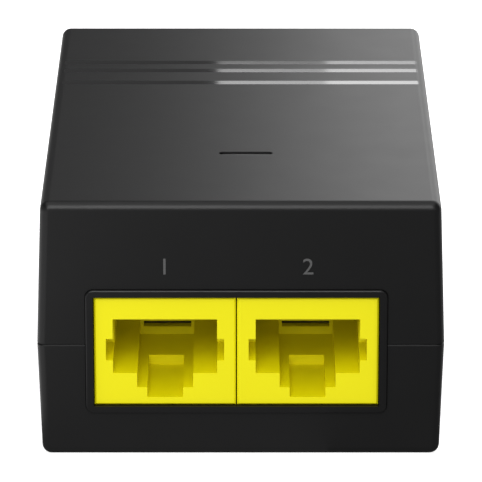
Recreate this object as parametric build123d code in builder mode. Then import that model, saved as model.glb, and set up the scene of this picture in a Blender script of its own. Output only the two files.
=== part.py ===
from build123d import *
import os

# A pocket power-over-Ethernet injector: a plastic case in two shells, two RJ45 jacks in its front
# wall, a two-pin mains inlet in its back wall and a small power supply on a board between them.
# Millimetres. The origin is the centre of the base. +X is right, +Y runs from the jacks to the
# inlet and +Z is up.

# ---- case
case_length = 70.0
case_width = 46.5            # at the parting line, where the case is widest
case_height = 30.6
parting_height = 13.5
top_draft = 0.57             # each side leans in this far at the top
base_draft = 0.45            # and this far at the base
wall = 2.0
long_edge_radius = 1.1
end_edge_radius = 0.95
seam_bevel = 0.12
tongue_height = 1.2          # of the lower shell's tongue in the upper shell's rebate
tongue_thickness = 0.9
tongue_clearance = 0.1
trim_proud = 0.35            # that the bezel and the inlet's collar stand out of the end walls
trim_edge_radius = 0.2

front_y = -case_length / 2
back_y = case_length / 2
ceiling = case_height - wall
cavity_width = case_width - 2 * wall
cavity_length = case_length - 2 * wall

# ---- circuit board
tail_room = 2.6              # under the board
board_thickness = 1.6
tail_length = 1.1            # of a lead below the board
lead_clearance = 0.1         # between a lead and its hole
board_side_gap = 0.3
board_end_gap = 0.4
sheet_thickness = 0.25
sheet_gap = 0.5

board_bottom = wall + tail_room
board_top = board_bottom + board_thickness
board_width = cavity_width - 2 * (base_draft + board_side_gap)

# ---- RJ45 jacks
jack_width = 16.15
jack_height = 13.05
jack_depth = 20.0
jack_gap = 0.15
jack_edge_bevel = 0.2
pair_offset = -0.5           # of the middle of the pair from the middle of the case
plug_width = 11.9
plug_height = 6.55
plug_depth = 17.5
top_lip = 2.63               # jack wall above the plug
latch_width = 6.4
latch_drop = 1.73            # latch channel below the plug's floor
latch_depth = 17.5
tab_width = 4.1
tab_drop = 1.2               # tab slot below the latch channel
tab_depth = 10.5
side_notch_width = 0.8
side_notch_height = 2.6
side_notch_drop = 2.4        # below the plug's ceiling
side_notch_depth = 6.0
slit_width = 5.6             # of the slit across the jack's inner back wall
slit_height = 0.7
slit_drop = 0.1              # below the plug's floor
peg_radius = 1.6
peg_setback = 10.0
peg_spacing = 10.2
peg_clearance = 0.05

jack_front_y = front_y
jack_back_y = jack_front_y + jack_depth
jack_top = board_top + jack_height
plug_ceiling = jack_height - top_lip
plug_floor = plug_ceiling - plug_height
latch_floor = plug_floor - latch_drop
tab_floor = latch_floor - tab_drop
jacks_width = 2 * jack_width + jack_gap
jack_pitch = jack_width + jack_gap
ports = {"poe": pair_offset - jack_pitch / 2, "lan": pair_offset + jack_pitch / 2}

# ---- jack contacts
contact_count = 8
contact_pitch = 1.016
contact_width = 0.42
contact_thickness = 0.3
carrier_width = 10.4
carrier_side_gap = 0.1
carrier_nose = 3.75          # behind the jack's front
carrier_drop = 0.05          # plate's underside above the plug's ceiling
carrier_plate = 0.75
lead_gap = 0.1               # between the leads and the jack's roof
lip_depth = 3.0              # solid roof in front of the carrier's slot
hinge_gap = 0.04
contact_slope = 17.0         # degrees that a spring hangs below level
contact_length = 12.0
comb_rib = 0.3
comb_depth = 3.2
comb_drop = 4.0

plate_bottom = plug_ceiling + carrier_drop
plate_top = plate_bottom + carrier_plate
lead_top = plate_top + contact_thickness
slot_top = lead_top + lead_gap
lead_plane = jack_depth - lead_gap - contact_thickness
lead_end = plate_bottom - carrier_drop
hinge_radius = contact_thickness / 2
hinge_setback = carrier_nose - hinge_radius
hinge_height = lead_end - hinge_gap - hinge_radius
contact_offsets = [(i - (contact_count - 1) / 2) * contact_pitch for i in range(contact_count)]
comb_offsets = [(i - contact_count / 2) * contact_pitch for i in range(contact_count + 1)]

# ---- bezel round the jacks
bezel_side = 1.0             # width of the frame beside the jacks
bezel_height_margin = 0.95   # above and below them
bezel_radius = 0.9
bezel_jack_gap = 0.1
bezel_wall_gap = 0.05
bezel_flange = 0.8           # that its flange reaches past the frame, behind the wall
bezel_flange_thickness = 1.0
bezel_board_gap = 0.2

bezel_width = jacks_width + 2 * bezel_side
bezel_height = jack_height + 2 * bezel_height_margin
bezel_z = board_top + jack_height / 2
board_front = front_y + wall + bezel_flange_thickness + bezel_board_gap
board_back = back_y - wall - board_end_gap

# ---- mains inlet
inlet_size = (21.0, 12.0, 12.0)     # body behind the wall
inlet_collar = (19.4, 10.4)
inlet_collar_radius = 1.2
inlet_wall_gap = 0.1
lobe_radius = 3.9
pin_spacing = 8.6
waist_height = 6.8
recess_depth = 12.0
pin_radius = 1.2
pin_setback = 1.6            # of the tips behind the mouth
pin_clearance = 0.03
terminal_width = 2.0
terminal_thickness = 0.9

mouth_y = back_y + trim_proud
inlet_y = back_y - wall - inlet_size[1]
inlet_z = board_top + inlet_size[2] / 2
pin_xs = (-pin_spacing / 2, pin_spacing / 2)

# ---- screws and their posts
post_radius = 2.8
shoulder_radius = 3.8        # the foot of each post, which carries the board
post_wall_gap = 0.4          # from the inner wall at the parting line
post_behind_jacks = 3.0      # from the back of the jacks to the posts' middle
post_before_back = 4.0       # from the back wall to the posts' middle
post_gap = 0.1
post_board_gap = 0.25
screw_radius = 1.15
screw_hole_gap = 0.2
screw_head_radius = 2.0
screw_head_height = 1.6
well_gap = 0.3
well_depth = 3.2
thread_grip = 7.0            # in the upper post
thread_clearance = 0.02
pilot_spare = 1.5
cross_width = 0.55
cross_depth = 0.9

post_x = cavity_width / 2 - post_wall_gap - post_radius
front_post_y = jack_back_y + post_behind_jacks
rear_post_y = back_y - wall - post_before_back
posts = [(x, y) for x in (-post_x, post_x) for y in (front_post_y, rear_post_y)]

board_screw_radius = 0.95
board_screw_head = (1.6, 1.0)
board_screw_length = 4.2
board_boss_radius = 2.1
board_screw_y = jack_front_y + 10.0
board_screw_x = board_width / 2 - board_screw_head[0] - 0.2
board_screws_at = [(-board_screw_x, board_screw_y), (board_screw_x, board_screw_y)]

# ---- hold-down ribs and light pipe
rib_thickness = 1.2
rib_gap = 0.1
rib_spacing = 8.0
rib_setback = 5.0            # behind the front wall's inside
rib_length = 9.0

lens_x = 0.6
lens_setback = 18.1          # of the indicator behind the front face
lens_length = 6.2
lens_width = 0.95
lens_clearance = 0.04
lens_sunk = 0.15
pipe_flange_width = 11.0
pipe_flange_thickness = 1.0
pipe_flange_margin = 0.3     # of the flange round the lens and the stem
pipe_stem = (4.0, 1.6)
pipe_jack_gap = 0.4
stake_radius = 0.5
stake_spacing = 8.6
stake_clearance = 0.05
stake_length = 1.5
led_size = (3.2, 1.6, 0.8)
led_lens = (2.2, 1.2, 0.3)
led_gap = 0.3

lens_y = front_y + lens_setback
stem_y = jack_back_y + pipe_jack_gap + pipe_stem[1] / 2
flange_front = lens_y - lens_width / 2 - pipe_flange_margin
flange_back = stem_y + pipe_stem[1] / 2 + pipe_flange_margin
flange_y = (flange_front + flange_back) / 2
stakes = [(lens_x - stake_spacing / 2, flange_y), (lens_x + stake_spacing / 2, flange_y)]

# ---- blank label on the base
label_size = (30.0, 40.0)
label_thickness = 0.15
label_recess = 0.2
label_gap = 0.2
label_radius = 1.5

# ---- parts of the power supply, placed from the inlet or from the back of the jacks
fuse_size = (4.0, 8.5, 8.0)
fuse_at = (-14.5, inlet_y - 0.5)
varistor_radius = 4.2
varistor_thickness = 3.4
varistor_at = (-15.2, inlet_y - 6.8)
x_capacitor_size = (6.0, 13.0, 12.0)
x_capacitor_at = (15.0, inlet_y - 2.4)
choke_radii = (3.2, 6.0)
choke_thickness = 5.0
choke_winding = 0.9
choke_spread = 4.0           # between the two windings
choke_lead_x = 2.8
choke_gap = 0.05
choke_at = (-3.0, inlet_y - 4.8)
bridge_size = (6.0, 8.0, 3.3)
bridge_at = (8.7, inlet_y - 4.8)
bulk_radius = 6.25
bulk_height = 18.0
bulk_at = (12.5, inlet_y - 15.5)
core_size = (16.0, 5.0, 14.0)
core_leg = 5.0
core_outer_leg = 2.5
core_lift = 0.5
bobbin_wall = 0.7
bobbin_gap = 0.1
bobbin_depth = 13.0
winding_thickness = 2.0
winding_gap = 0.02
transformer_at = (-4.0, inlet_y - 16.0)
transistor_size = (4.5, 10.0, 9.0)
transistor_tab = (1.3, 15.6)
transistor_lift = 4.0
transistor_at_y = inlet_y - 15.0
sink_size = (1.5, 12.0, 20.0)
sink_x = -19.2
optocoupler_size = (6.5, 4.6, 3.5)
optocoupler_at = (-16.4, jack_back_y + 12.0)
y_capacitor_radius = 4.0
y_capacitor_thickness = 3.2
y_capacitor_at = (7.0, jack_back_y + 11.6)
diode_size = (4.6, 3.6, 2.3)
diode_at = (-4.2, jack_back_y + 11.0)
controller_size = (5.0, 3.9, 1.6)
controller_at = (-9.5, jack_back_y + 11.0)
output_cap_radius = 4.0
output_cap_height = 14.0
output_caps_at = [(8.6, jack_back_y + 5.0), (15.9, jack_back_y + 10.2)]
drum_radius = 3.0
drum_height = 8.0
drum_at = (1.2, jack_back_y + 6.4)
magnetics_size = (12.0, 7.0, 5.8)
magnetics_at = (-8.2, jack_back_y + 4.2)
disc_lift = 1.0
lead_radius = 0.35
radial_pitch = 5.0           # between the two leads of a fuse, disc or large can
small_can_pitch = 3.5
drum_pitch = 3.0
x_capacitor_pitch = 10.0
bridge_pitch = (4.4, 5.0)
bobbin_pin_pitch = 3.8
bobbin_pins_per_side = 4
transistor_pitch = 2.54
transistor_lead_x = 2.4      # in front of the cooling plate
optocoupler_pitch = (5.4, 2.54)
sink_peg_pitch = 8.0
moulded_edge = 0.3           # bevel or rounding on chips and boxes
rounded_edge = 0.7           # on cans and coated pieces

standing = (Align.CENTER, Align.CENTER, Align.MIN)
hanging = (Align.CENTER, Align.CENTER, Align.MAX)
lead_holes = []              # (x, y, radius) of each hole that the board needs


def front_plane(y, x=0, z=0):
    """A sketch plane that faces the front, with X to the right and Y up."""
    return Plane((x, y, z), x_dir=(1, 0, 0), z_dir=(0, -1, 0))


def side_plane(x, y=0, z=0):
    """A sketch plane that faces the right, with X to the back and Y up."""
    return Plane((x, y, z), x_dir=(0, 1, 0), z_dir=(1, 0, 0))


def add_leads(points, radius=lead_radius, start=0.0):
    """Round leads from this far above the board down through it, and their holes."""
    with Locations(*[(x, y, board_top + start) for x, y in points]):
        Cylinder(radius, start + board_thickness + tail_length, align=hanging)
    lead_holes.extend((x, y, radius + lead_clearance) for x, y in points)


def pair_along(axis, at, pitch):
    """Two points this far apart, along an axis, about a point."""
    step = axis.direction * (pitch / 2)
    return [(at[0] - step.X, at[1] - step.Y), (at[0] + step.X, at[1] + step.Y)]


def four_corners(at, pitch):
    """The corners of a rectangle about a point."""
    return [(at[0] + i * pitch[0] / 2, at[1] + j * pitch[1] / 2) for i in (-1, 1) for j in (-1, 1)]


def add_box(at, size, lift=0.0):
    """A box that stands on the board."""
    with Locations((at[0], at[1], board_top + lift)):
        Box(*size, align=standing)


os.makedirs("parts", exist_ok=True)

# ---- shapes that several pieces share
lower_section = [
    (-case_width / 2 + base_draft, 0),
    (case_width / 2 - base_draft, 0),
    (case_width / 2, parting_height),
    (-case_width / 2, parting_height),
]
upper_section = [
    (case_width / 2, parting_height),
    (case_width / 2 - top_draft, case_height),
    (-case_width / 2 + top_draft, case_height),
    (-case_width / 2, parting_height),
]

# the case's two halves, solid, with every outer edge rounded but the one at the parting line
with BuildPart() as lower_block:
    with BuildSketch(front_plane(front_y)) as lower_outline:
        with BuildLine():
            Polyline(*lower_section, close=True)
        make_face()
        fillet(lower_outline.vertices().group_by(Axis.Y)[0], long_edge_radius)
    extrude(amount=-case_length)
    parting_edges = lower_block.faces().sort_by(Axis.Z)[-1].edges()
    fillet(lower_block.faces().filter_by(Axis.Y).edges() - parting_edges, end_edge_radius)

with BuildPart() as upper_block:
    with BuildSketch(front_plane(front_y)) as upper_outline:
        with BuildLine():
            Polyline(*upper_section, close=True)
        make_face()
        fillet(upper_outline.vertices().group_by(Axis.Y)[-1], long_edge_radius)
    extrude(amount=-case_length)
    parting_edges = upper_block.faces().sort_by(Axis.Z)[0].edges()
    fillet(upper_block.faces().filter_by(Axis.Y).edges() - parting_edges, end_edge_radius)

with BuildPart() as case_cavity:
    with BuildSketch(front_plane(front_y + wall)):
        with BuildLine():
            Polyline(*lower_section[:3], *upper_section[1:], close=True)
        make_face()
        offset(amount=-wall, kind=Kind.INTERSECTION)
    extrude(amount=-cavity_length)

# a V-groove round the case at the parting line
with BuildPart() as seam_groove:
    with Locations((0, 0, parting_height)):
        Box(case_width + wall, case_length + wall, 2 * seam_bevel)
    for side in (-1, 1):
        with BuildSketch(Plane.XY.offset(parting_height)):
            RectangleRounded(
                case_width - 2 * seam_bevel,
                case_length - 2 * seam_bevel,
                end_edge_radius - seam_bevel,
            )
        with BuildSketch(Plane.XY.offset(parting_height + side * seam_bevel)):
            RectangleRounded(case_width, case_length, end_edge_radius)
        loft(mode=Mode.SUBTRACT)

# wall openings, as seen from the front
with BuildSketch(front_plane(front_y, pair_offset, bezel_z)) as port_opening:
    RectangleRounded(
        bezel_width + 2 * bezel_wall_gap,
        bezel_height + 2 * bezel_wall_gap,
        bezel_radius + bezel_wall_gap,
    )

with BuildSketch(front_plane(back_y - wall, 0, inlet_z)) as inlet_opening:
    RectangleRounded(
        inlet_collar[0] + 2 * inlet_wall_gap,
        inlet_collar[1] + 2 * inlet_wall_gap,
        inlet_collar_radius + inlet_wall_gap,
    )

# ---- lower shell
with BuildPart() as lower_shell:
    add(lower_block.part)
    add(seam_groove.part, mode=Mode.SUBTRACT)
    add(case_cavity.part, mode=Mode.SUBTRACT)
    with BuildSketch(Plane.XY.offset(wall)):
        with Locations(*posts):
            Circle(shoulder_radius)
        with Locations(*board_screws_at):
            Circle(board_boss_radius)
    extrude(amount=tail_room)
    with BuildSketch(Plane.XY.offset(wall)):
        with Locations(*posts):
            Circle(post_radius)
    extrude(amount=parting_height - wall)
    with BuildSketch(Plane.XY.offset(parting_height)):
        Rectangle(cavity_width + 2 * tongue_thickness, cavity_length + 2 * tongue_thickness)
        Rectangle(cavity_width, cavity_length, mode=Mode.SUBTRACT)
    extrude(amount=tongue_height)
    extrude(port_opening.sketch, amount=-wall, mode=Mode.SUBTRACT)
    extrude(inlet_opening.sketch, amount=-wall, mode=Mode.SUBTRACT)
    with Locations(*posts):
        Cylinder(screw_head_radius + well_gap, well_depth, align=standing, mode=Mode.SUBTRACT)
        Cylinder(screw_radius + screw_hole_gap, parting_height, align=standing, mode=Mode.SUBTRACT)
    with Locations(*[(x, y, board_bottom) for x, y in board_screws_at]):
        Cylinder(
            board_screw_radius + thread_clearance,
            board_screw_length - board_thickness + sheet_thickness,
            align=hanging,
            mode=Mode.SUBTRACT,
        )
    with BuildSketch(Plane.XY):
        RectangleRounded(label_size[0] + 2 * label_gap, label_size[1] + 2 * label_gap, label_radius)
    extrude(amount=label_recess, mode=Mode.SUBTRACT)
lower_shell.part.label = "lower_shell"
export_step(lower_shell.part, "parts/lower_shell.step")

# ---- upper shell
with BuildPart() as upper_shell:
    add(upper_block.part)
    add(seam_groove.part, mode=Mode.SUBTRACT)
    add(case_cavity.part, mode=Mode.SUBTRACT)
    with BuildSketch(Plane.XY.offset(parting_height)):
        Rectangle(
            cavity_width + 2 * (tongue_thickness + tongue_clearance),
            cavity_length + 2 * (tongue_thickness + tongue_clearance),
        )
    extrude(amount=tongue_height + tongue_clearance, mode=Mode.SUBTRACT)
    with Locations(*[(x, y, ceiling) for x, y in posts]):
        Cylinder(post_radius, ceiling - parting_height - post_gap, align=hanging)
    for port_x in ports.values():
        for side in (-1, 1):
            rib_middle = front_y + wall + rib_setback + rib_length / 2
            with Locations((port_x + side * rib_spacing / 2, rib_middle, ceiling)):
                Box(rib_thickness, rib_length, ceiling - jack_top - rib_gap, align=hanging)
    with Locations(*[(x, y, ceiling) for x, y in stakes]):
        Cylinder(stake_radius, stake_length, align=hanging)
    extrude(port_opening.sketch, amount=-wall, mode=Mode.SUBTRACT)
    extrude(inlet_opening.sketch, amount=-wall, mode=Mode.SUBTRACT)
    with Locations(*[(x, y, parting_height) for x, y in posts]):
        Cylinder(
            screw_radius + thread_clearance,
            thread_grip + pilot_spare,
            align=standing,
            mode=Mode.SUBTRACT,
        )
    with BuildSketch(Plane.XY.offset(ceiling)):
        with Locations((lens_x, lens_y)):
            SlotOverall(lens_length + 2 * lens_clearance, lens_width + 2 * lens_clearance)
    extrude(amount=wall, mode=Mode.SUBTRACT)
upper_shell.part.label = "upper_shell"
export_step(upper_shell.part, "parts/upper_shell.step")

# ---- bezel: a collar through the front wall and a flange behind it
with BuildPart() as port_bezel:
    with BuildSketch(front_plane(front_y - trim_proud, pair_offset, bezel_z)):
        RectangleRounded(bezel_width, bezel_height, bezel_radius)
    extrude(amount=-(trim_proud + wall))
    fillet(port_bezel.faces().sort_by(Axis.Y)[0].edges(), trim_edge_radius)
    with BuildSketch(front_plane(front_y + wall, pair_offset, bezel_z)):
        Rectangle(bezel_width + 2 * bezel_flange, bezel_height + 2 * bezel_flange)
    extrude(amount=-bezel_flange_thickness)
    with BuildSketch(front_plane(front_y - trim_proud, pair_offset, bezel_z)):
        Rectangle(jacks_width + 2 * bezel_jack_gap, jack_height + 2 * bezel_jack_gap)
    extrude(amount=-(trim_proud + wall + bezel_flange_thickness), mode=Mode.SUBTRACT)
port_bezel.part.label = "port_bezel"
export_step(port_bezel.part, "parts/port_bezel.step")

# ---- case screws, driven from below
with BuildPart() as case_screws:
    with Locations(*[(x, y, well_depth) for x, y in posts]):
        Cylinder(screw_head_radius, screw_head_height, align=hanging)
        Cylinder(
            screw_radius,
            parting_height - well_depth + thread_grip,
            align=standing,
        )
    with Locations(*[(x, y, well_depth - screw_head_height) for x, y in posts]):
        Box(2 * screw_radius, cross_width, cross_depth, align=standing, mode=Mode.SUBTRACT)
        Box(cross_width, 2 * screw_radius, cross_depth, align=standing, mode=Mode.SUBTRACT)
case_screws.part.label = "case_screws"
export_step(case_screws.part, "parts/case_screws.step")

# ---- board screws
with BuildPart() as board_screws:
    with Locations(*[(x, y, board_top) for x, y in board_screws_at]):
        Cylinder(*board_screw_head, align=standing)
        Cylinder(board_screw_radius, board_screw_length, align=hanging)
    with Locations(*[(x, y, board_top + board_screw_head[1]) for x, y in board_screws_at]):
        Box(2 * board_screw_radius, cross_width, cross_depth, align=hanging, mode=Mode.SUBTRACT)
        Box(cross_width, 2 * board_screw_radius, cross_depth, align=hanging, mode=Mode.SUBTRACT)
board_screws.part.label = "board_screws"
export_step(board_screws.part, "parts/board_screws.step")

# ---- the two jacks, alike but for their place
for port, port_x in ports.items():
    jack_face = front_plane(jack_front_y, port_x, board_top)

    with BuildPart() as jack_housing:
        with BuildSketch(jack_face):
            with Locations((0, jack_height / 2)):
                Rectangle(jack_width, jack_height)
        extrude(amount=-jack_depth)
        chamfer(jack_housing.faces().sort_by(Axis.Y)[0].edges(), jack_edge_bevel)
        with BuildSketch(jack_face):
            with Locations((0, plug_floor)):
                Rectangle(plug_width, plug_height, align=(Align.CENTER, Align.MIN))
        extrude(amount=-plug_depth, mode=Mode.SUBTRACT)
        with BuildSketch(jack_face):
            with Locations((0, latch_floor)):
                Rectangle(latch_width, latch_drop, align=(Align.CENTER, Align.MIN))
        extrude(amount=-latch_depth, mode=Mode.SUBTRACT)
        with BuildSketch(jack_face):
            with Locations((0, tab_floor)):
                Rectangle(tab_width, tab_drop, align=(Align.CENTER, Align.MIN))
        extrude(amount=-tab_depth, mode=Mode.SUBTRACT)
        with BuildSketch(jack_face):
            with Locations((0, plug_ceiling - side_notch_drop)):
                Rectangle(
                    plug_width + 2 * side_notch_width,
                    side_notch_height,
                    align=(Align.CENTER, Align.MAX),
                )
        extrude(amount=-side_notch_depth, mode=Mode.SUBTRACT)
        # slot in the roof for the carrier's plate, and the pocket at the back for its wall
        with BuildSketch(front_plane(jack_front_y + lip_depth, port_x, board_top + plug_ceiling)):
            Rectangle(
                carrier_width + 2 * carrier_side_gap,
                slot_top - plug_ceiling,
                align=(Align.CENTER, Align.MIN),
            )
        extrude(amount=-(jack_depth - lip_depth), mode=Mode.SUBTRACT)
        pocket_y = jack_front_y + lead_plane - carrier_plate - carrier_side_gap
        with BuildSketch(front_plane(pocket_y, port_x, board_top)):
            Rectangle(
                carrier_width + 2 * carrier_side_gap,
                slot_top,
                align=(Align.CENTER, Align.MIN),
            )
        extrude(amount=-(jack_back_y - pocket_y), mode=Mode.SUBTRACT)
        slit_plane = front_plane(jack_front_y + plug_depth, port_x, board_top + plug_floor)
        with BuildSketch(slit_plane):
            with Locations((0, -slit_drop)):
                Rectangle(slit_width, slit_height, align=(Align.CENTER, Align.MAX))
        extrude(amount=-(jack_depth - plug_depth), mode=Mode.SUBTRACT)
        # ribs that keep the springs' tips apart
        comb_y = jack_front_y + plug_depth - comb_depth
        with BuildSketch(front_plane(comb_y, port_x, board_top + plug_ceiling)):
            with Locations(*[(x, 0) for x in comb_offsets]):
                Rectangle(comb_rib, comb_drop, align=(Align.CENTER, Align.MAX))
        extrude(amount=-comb_depth)
        pegs = [
            (port_x - peg_spacing / 2, jack_front_y + peg_setback),
            (port_x + peg_spacing / 2, jack_front_y + peg_setback),
        ]
        with Locations(*[(x, y, board_top) for x, y in pegs]):
            Cylinder(peg_radius, board_thickness + tail_length, align=hanging)
        lead_holes.extend((x, y, peg_radius + peg_clearance) for x, y in pegs)
    jack_housing.part.label = f"{port}_jack_housing"
    export_step(jack_housing.part, f"parts/{port}_jack_housing.step")

    with BuildPart() as contact_carrier:
        with BuildSketch(side_plane(port_x, jack_front_y, board_top)):
            with BuildLine():
                Polyline(
                    (carrier_nose, plate_bottom),
                    (lead_plane - carrier_plate, plate_bottom),
                    (lead_plane - carrier_plate, 0),
                    (lead_plane, 0),
                    (lead_plane, plate_top),
                    (carrier_nose, plate_top),
                    close=True,
                )
            make_face()
        extrude(amount=carrier_width / 2, both=True)
    contact_carrier.part.label = f"{port}_contact_carrier"
    export_step(contact_carrier.part, f"parts/{port}_contact_carrier.step")

    # each lead wraps the carrier's nose, runs back over its plate and down its back wall
    with BuildPart() as contact_leads:
        for x in contact_offsets:
            with BuildSketch(side_plane(port_x + x, jack_front_y, board_top)):
                with BuildLine():
                    Polyline(
                        (carrier_nose - contact_thickness, lead_end),
                        (carrier_nose, lead_end),
                        (carrier_nose, plate_top),
                        (lead_plane, plate_top),
                        (lead_plane, -board_thickness - tail_length),
                        (lead_plane + contact_thickness, -board_thickness - tail_length),
                        (lead_plane + contact_thickness, lead_top),
                        (carrier_nose - contact_thickness, lead_top),
                        close=True,
                    )
                make_face()
            extrude(amount=contact_width / 2, both=True)
            lead_y = jack_front_y + lead_plane + contact_thickness / 2
            lead_holes.append((port_x + x, lead_y, contact_width / 2 + lead_clearance))
    contact_leads.part.label = f"{port}_contact_leads"
    export_step(contact_leads.part, f"parts/{port}_contact_leads.step")

    # each spring hangs from a rounded root under its lead's nose
    with BuildPart() as contact_beams:
        for x in contact_offsets:
            root = side_plane(port_x + x, jack_front_y + hinge_setback, board_top + hinge_height)
            with BuildSketch(root):
                Circle(hinge_radius)
                Rectangle(
                    contact_length,
                    contact_thickness,
                    rotation=-contact_slope,
                    align=(Align.MIN, Align.CENTER),
                )
            extrude(amount=contact_width / 2, both=True)
    contact_beams.part.label = f"{port}_contact_beams"
    export_step(contact_beams.part, f"parts/{port}_contact_beams.step")

# ---- mains inlet
with BuildPart() as ac_inlet_housing:
    with BuildSketch(front_plane(inlet_y, 0, inlet_z)):
        Rectangle(inlet_size[0], inlet_size[2])
    extrude(amount=-inlet_size[1])
    with BuildSketch(front_plane(back_y - wall, 0, inlet_z)):
        RectangleRounded(*inlet_collar, inlet_collar_radius)
    extrude(amount=-(wall + trim_proud))
    fillet(ac_inlet_housing.faces().sort_by(Axis.Y)[-1].edges(), trim_edge_radius)
    with BuildSketch(front_plane(mouth_y - recess_depth, 0, inlet_z)):
        with Locations(*[(x, 0) for x in pin_xs]):
            Circle(lobe_radius)
        Rectangle(pin_spacing, waist_height)
    extrude(amount=-recess_depth, mode=Mode.SUBTRACT)
    with BuildSketch(front_plane(inlet_y, 0, inlet_z)):
        with Locations(*[(x, 0) for x in pin_xs]):
            Circle(pin_radius + pin_clearance)
    extrude(amount=-inlet_size[1], mode=Mode.SUBTRACT)
ac_inlet_housing.part.label = "ac_inlet_housing"
export_step(ac_inlet_housing.part, "parts/ac_inlet_housing.step")

with BuildPart() as ac_inlet_pins:
    with BuildSketch(front_plane(inlet_y - terminal_thickness, 0, inlet_z)):
        with Locations(*[(x, 0) for x in pin_xs]):
            Circle(pin_radius)
    extrude(amount=-(mouth_y - pin_setback - inlet_y + terminal_thickness))
    fillet(ac_inlet_pins.faces().sort_by(Axis.Y)[-2:].edges(), pin_radius / 2)
    for x in pin_xs:
        with Locations((x, inlet_y - terminal_thickness / 2, inlet_z + pin_radius)):
            Box(
                terminal_width,
                terminal_thickness,
                inlet_z + pin_radius - board_bottom + tail_length,
                align=hanging,
            )
        half_diagonal = (terminal_width ** 2 + terminal_thickness ** 2) ** 0.5 / 2
        lead_holes.append((x, inlet_y - terminal_thickness / 2, half_diagonal + lead_clearance))
ac_inlet_pins.part.label = "ac_inlet_pins"
export_step(ac_inlet_pins.part, "parts/ac_inlet_pins.step")

# ---- mains side of the supply
with BuildPart() as mains_fuse:
    add_box(fuse_at, fuse_size)
    fillet(mains_fuse.edges().filter_by(Axis.Z), rounded_edge)
    add_leads(pair_along(Axis.Y, fuse_at, radial_pitch))
mains_fuse.part.label = "mains_fuse"
export_step(mains_fuse.part, "parts/mains_fuse.step")

with BuildPart() as varistor:
    disc_z = board_top + disc_lift + varistor_radius
    with BuildSketch(front_plane(varistor_at[1] - varistor_thickness / 2, varistor_at[0], disc_z)):
        Circle(varistor_radius)
    extrude(amount=-varistor_thickness)
    fillet(varistor.edges(), varistor_thickness / 4)
    add_leads(pair_along(Axis.X, varistor_at, radial_pitch), start=disc_lift + varistor_radius)
varistor.part.label = "varistor"
export_step(varistor.part, "parts/varistor.step")

with BuildPart() as x_capacitor:
    add_box(x_capacitor_at, x_capacitor_size)
    fillet(x_capacitor.edges().filter_by(Axis.Z), rounded_edge)
    add_leads(pair_along(Axis.Y, x_capacitor_at, x_capacitor_pitch))
x_capacitor.part.label = "x_capacitor"
export_step(x_capacitor.part, "parts/x_capacitor.step")

choke_z = board_top + choke_radii[1] + choke_winding
choke_face = front_plane(choke_at[1], choke_at[0], choke_z)

with BuildPart() as emi_choke_core:
    with BuildSketch(choke_face):
        Circle(choke_radii[1])
        Circle(choke_radii[0], mode=Mode.SUBTRACT)
    extrude(amount=choke_thickness / 2, both=True)
emi_choke_core.part.label = "emi_choke_core"
export_step(emi_choke_core.part, "parts/emi_choke_core.step")

# a winding on each half of the ring, hollow where the core passes through
with BuildPart() as emi_choke_windings:
    with BuildSketch(choke_face):
        Circle(choke_radii[1] + choke_winding)
        Circle(choke_radii[0] - choke_winding, mode=Mode.SUBTRACT)
        Rectangle(choke_spread, 3 * choke_radii[1], mode=Mode.SUBTRACT)
    extrude(amount=choke_thickness / 2 + choke_winding, both=True)
    with BuildSketch(choke_face):
        Circle(choke_radii[1] + choke_gap)
        Circle(choke_radii[0] - choke_gap, mode=Mode.SUBTRACT)
    extrude(amount=choke_thickness / 2 + choke_gap, both=True, mode=Mode.SUBTRACT)
    winding_y = choke_thickness / 2 + choke_winding / 2
    add_leads(four_corners(choke_at, (2 * choke_lead_x, 2 * winding_y)), start=choke_radii[1])
emi_choke_windings.part.label = "emi_choke_windings"
export_step(emi_choke_windings.part, "parts/emi_choke_windings.step")

with BuildPart() as bridge_rectifier:
    add_box(bridge_at, bridge_size)
    chamfer(bridge_rectifier.faces().sort_by(Axis.Z)[-1].edges(), moulded_edge)
    add_leads(four_corners(bridge_at, bridge_pitch))
bridge_rectifier.part.label = "bridge_rectifier"
export_step(bridge_rectifier.part, "parts/bridge_rectifier.step")

with BuildPart() as bulk_capacitor:
    with Locations((*bulk_at, board_top)):
        Cylinder(bulk_radius, bulk_height, align=standing)
    fillet(bulk_capacitor.faces().sort_by(Axis.Z)[-1].edges(), rounded_edge)
    add_leads(pair_along(Axis.Y, bulk_at, radial_pitch))
bulk_capacitor.part.label = "bulk_capacitor"
export_step(bulk_capacitor.part, "parts/bulk_capacitor.step")

# ---- power transformer: an E-core round the middle leg of a spool
core_base = board_top + core_lift
window_bottom = core_base + core_outer_leg
window_top = core_base + core_size[2] - core_outer_leg
window_height = window_top - window_bottom
spool_half = core_leg / 2 + bobbin_gap + bobbin_wall
flange_half = core_size[0] / 2 - core_outer_leg - bobbin_gap

with BuildPart() as transformer_core:
    with Locations((*transformer_at, core_base)):
        Box(*core_size, align=standing)
    for side in (-1, 1):
        window_width = core_size[0] / 2 - core_outer_leg - core_leg / 2
        window_x = transformer_at[0] + side * (core_leg / 2 + window_width / 2)
        with Locations((window_x, transformer_at[1], window_bottom)):
            Box(window_width, core_size[1], window_height, align=standing, mode=Mode.SUBTRACT)
transformer_core.part.label = "transformer_core"
export_step(transformer_core.part, "parts/transformer_core.step")

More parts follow.
